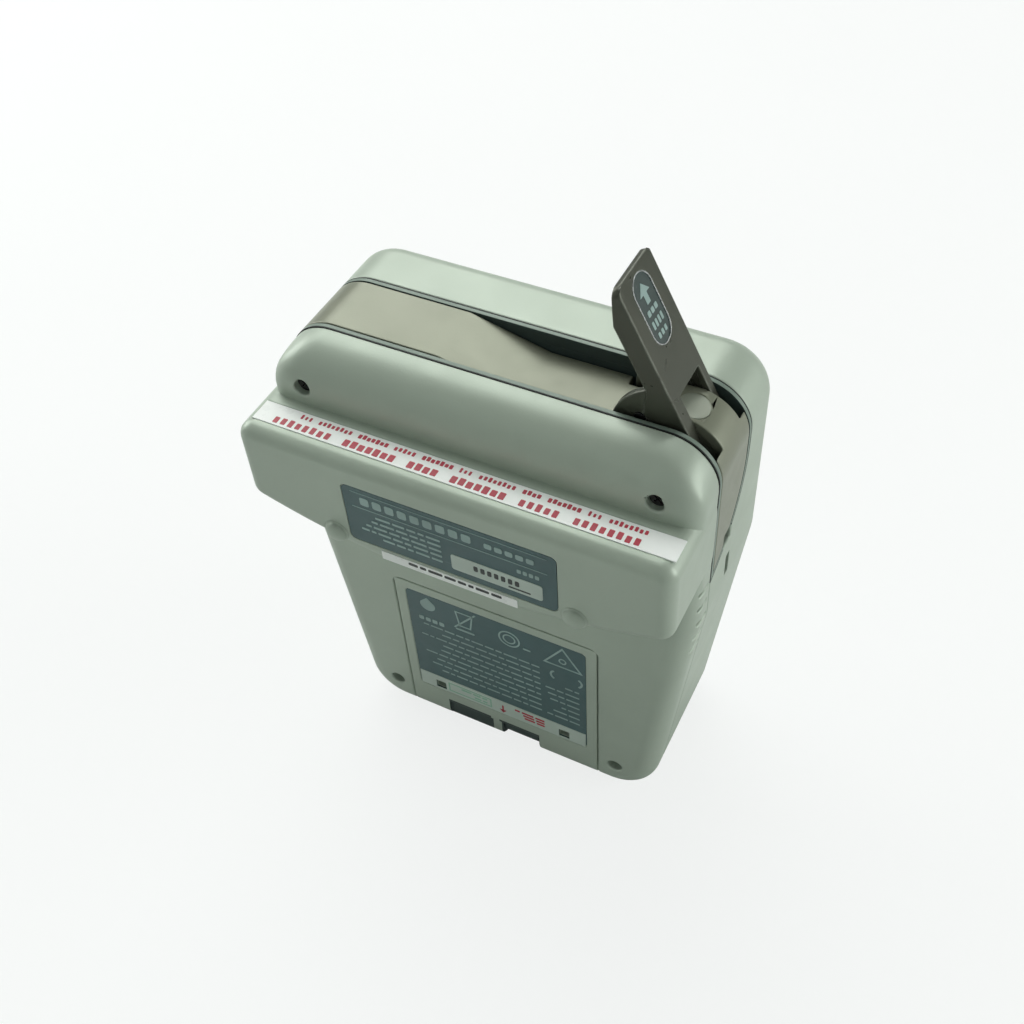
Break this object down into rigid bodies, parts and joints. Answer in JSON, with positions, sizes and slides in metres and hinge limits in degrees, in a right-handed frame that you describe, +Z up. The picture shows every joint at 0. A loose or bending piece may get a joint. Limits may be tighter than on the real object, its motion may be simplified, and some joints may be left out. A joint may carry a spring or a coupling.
{
  "type": "hand-held infusion pump",
  "caption": "Hand-held infusion pump with a hinged pump door, lift latch lever, roller pump head, keypad, display and sliding battery door.",
  "frame": {"origin": "middle of the footprint on the surface the pump stands on, with the latch lever raised", "axes": "+Z up the case to the pump door, -Y out of the keypad face, +Y out of the battery door, +X towards the pump door's hinge"},
  "size_m": [0.108, 0.064, 0.1665],
  "materials": {
    "case_plastic": "fine moulded texture, satin",
    "trim_plastic": "satin",
    "seal_rubber": "matte",
    "frame_plastic": "glass-filled, matte",
    "door_plastic": "satin, warm tan",
    "platen_plastic": "smooth acetal",
    "spring_steel": "nickel plated",
    "pin_steel": "ground",
    "plug_plastic": "satin",
    "lever_metal": "dark taupe satin paint",
    "label_film": "printed film",
    "dark_steel": "black oxide",
    "rotor_plastic": "smooth acetal",
    "gear_plastic": "natural nylon",
    "bronze": "sintered bronze and brass",
    "plate_alu": "brushed sheet",
    "motor_can": "plated can",
    "board_laminate": "green solder mask",
    "chip_plastic": "moulded packages",
    "display_plastic": "grey-green glass behind a frame",
    "window_clear": "clear hard-coated window",
    "lamp_clear": "tinted light pipes",
    "key_plastic": "satin",
    "key_green": "satin",
    "key_red": "satin",
    "black_plastic": "satin",
    "cell_can": "printed jacket, plated ends",
    "white_film": "white printed film"
  },
  "bodies": {
    "case": {"front_shell": "case_plastic", "rear_shell": "case_plastic", "front_trim": "trim_plastic", "rear_trim": "trim_plastic", "case_seals": "seal_rubber", "mid_frame": "frame_plastic", "hinge_pins": "pin_steel", "keeper_bar": "pin_steel", "shaft_bushings": "bronze", "gear_plate": "plate_alu", "motor": "motor_can", "main_board": "board_laminate", "board_parts": "chip_plastic", "keypad_board": "board_laminate", "key_mat": "seal_rubber", "display_module": "display_plastic", "display_window": "window_clear", "indicator_lamps": "lamp_clear", "sounder": "chip_plastic", "battery_tray": "black_plastic", "battery_cells": "cell_can", "battery_contacts": "spring_steel", "data_label": "label_film", "serial_tag": "white_film", "top_strip": "white_film", "rear_bumps": "trim_plastic", "case_screws": "dark_steel", "power_jack": "black_plastic", "data_socket": "black_plastic", "tube_sensors": "black_plastic"},
    "door": {"pump_door": "door_plastic", "door_plug": "plug_plastic", "platen_springs": "spring_steel"},
    "lever": {"latch_lever": "lever_metal", "lever_inlay": "label_film", "lever_pin": "pin_steel", "cam_rivets": "dark_steel"},
    "platen": {"platen": "platen_plastic"},
    "rotor": {"rotor": "rotor_plastic", "roller_pins": "pin_steel", "rotor_shaft": "pin_steel", "drive_gear": "gear_plastic"},
    "pinion": {"motor_pinion": "bronze"},
    "battery_door": {"battery_door": "case_plastic", "door_label": "label_film"},
    "battery_latch": {"battery_latch": "trim_plastic"},
    "roller_1": {"roller_1": "rotor_plastic"},
    "roller_2": {"roller_2": "rotor_plastic"},
    "roller_3": {"roller_3": "rotor_plastic"},
    "roller_4": {"roller_4": "rotor_plastic"},
    "key_1": {"key_1": "key_plastic"},
    "key_2": {"key_2": "key_plastic"},
    "key_3": {"key_3": "key_plastic"},
    "key_4": {"key_4": "key_plastic"},
    "key_5": {"key_5": "key_plastic"},
    "key_6": {"key_6": "key_plastic"},
    "key_7": {"key_7": "key_green"},
    "key_8": {"key_8": "key_plastic"},
    "key_9": {"key_9": "key_red"}
  },
  "joints": [
    {"name": "door_hinge", "type": "hinge", "parent": "case", "child": "door", "pos_m": [0.0518, -0.004, 0.117], "axis": [0, 1, 0], "range_deg": [0, 90]},
    {"name": "lever_pivot", "type": "hinge", "parent": "door", "child": "lever", "pos_m": [-0.0418, -0.004, 0.13], "axis": [0, 1, 0], "range_deg": [-20, 63]},
    {"name": "platen_slide", "type": "slide", "parent": "door", "child": "platen", "axis": [0, 0, 1], "range_m": [0, 0.0008], "stiffness_N_per_m": 4000, "springref_m": -0.002, "deforming": ["platen_springs"]},
    {"name": "rotor_spin", "type": "hinge", "parent": "case", "child": "rotor", "pos_m": [0.01, -0.004, 0.1052], "axis": [0, 1, 0], "continuous": true},
    {"name": "pinion_spin", "type": "hinge", "parent": "case", "child": "pinion", "pos_m": [-0.0092, 0.009, 0.1052], "axis": [0, 1, 0], "continuous": true},
    {"name": "battery_door_slide", "type": "slide", "parent": "case", "child": "battery_door", "axis": [0, 0, -1], "range_m": [0, 0.06]},
    {"name": "battery_latch_press", "type": "slide", "parent": "battery_door", "child": "battery_latch", "axis": [0, -1, 0], "range_m": [0, 0.0008], "stiffness_N_per_m": 800, "springref_m": -0.001},
    {"name": "roller_1_spin", "type": "hinge", "parent": "rotor", "child": "roller_1", "pos_m": [0.01707, -0.004, 0.11227], "axis": [0, 1, 0], "continuous": true},
    {"name": "roller_2_spin", "type": "hinge", "parent": "rotor", "child": "roller_2", "pos_m": [0.00293, -0.004, 0.11227], "axis": [0, 1, 0], "continuous": true},
    {"name": "roller_3_spin", "type": "hinge", "parent": "rotor", "child": "roller_3", "pos_m": [0.00293, -0.004, 0.09813], "axis": [0, 1, 0], "continuous": true},
    {"name": "roller_4_spin", "type": "hinge", "parent": "rotor", "child": "roller_4", "pos_m": [0.01707, -0.004, 0.09813], "axis": [0, 1, 0], "continuous": true},
    {"name": "key_1_press", "type": "slide", "parent": "case", "child": "key_1", "axis": [0, 1, 0], "range_m": [0, 0.0007], "stiffness_N_per_m": 600, "springref_m": -0.001},
    {"name": "key_2_press", "type": "slide", "parent": "case", "child": "key_2", "axis": [0, 1, 0], "range_m": [0, 0.0007], "stiffness_N_per_m": 600, "springref_m": -0.001},
    {"name": "key_3_press", "type": "slide", "parent": "case", "child": "key_3", "axis": [0, 1, 0], "range_m": [0, 0.0007], "stiffness_N_per_m": 600, "springref_m": -0.001},
    {"name": "key_4_press", "type": "slide", "parent": "case", "child": "key_4", "axis": [0, 1, 0], "range_m": [0, 0.0007], "stiffness_N_per_m": 600, "springref_m": -0.001},
    {"name": "key_5_press", "type": "slide", "parent": "case", "child": "key_5", "axis": [0, 1, 0], "range_m": [0, 0.0007], "stiffness_N_per_m": 600, "springref_m": -0.001},
    {"name": "key_6_press", "type": "slide", "parent": "case", "child": "key_6", "axis": [0, 1, 0], "range_m": [0, 0.0007], "stiffness_N_per_m": 600, "springref_m": -0.001},
    {"name": "key_7_press", "type": "slide", "parent": "case", "child": "key_7", "axis": [0, 1, 0], "range_m": [0, 0.0007], "stiffness_N_per_m": 600, "springref_m": -0.001},
    {"name": "key_8_press", "type": "slide", "parent": "case", "child": "key_8", "axis": [0, 1, 0], "range_m": [0, 0.0007], "stiffness_N_per_m": 600, "springref_m": -0.001},
    {"name": "key_9_press", "type": "slide", "parent": "case", "child": "key_9", "axis": [0, 1, 0], "range_m": [0, 0.0007], "stiffness_N_per_m": 600, "springref_m": -0.001}
  ],
  "couplings": [
    {"joint": "pinion_spin", "follows": "rotor_spin", "ratio": -3}
  ]
}
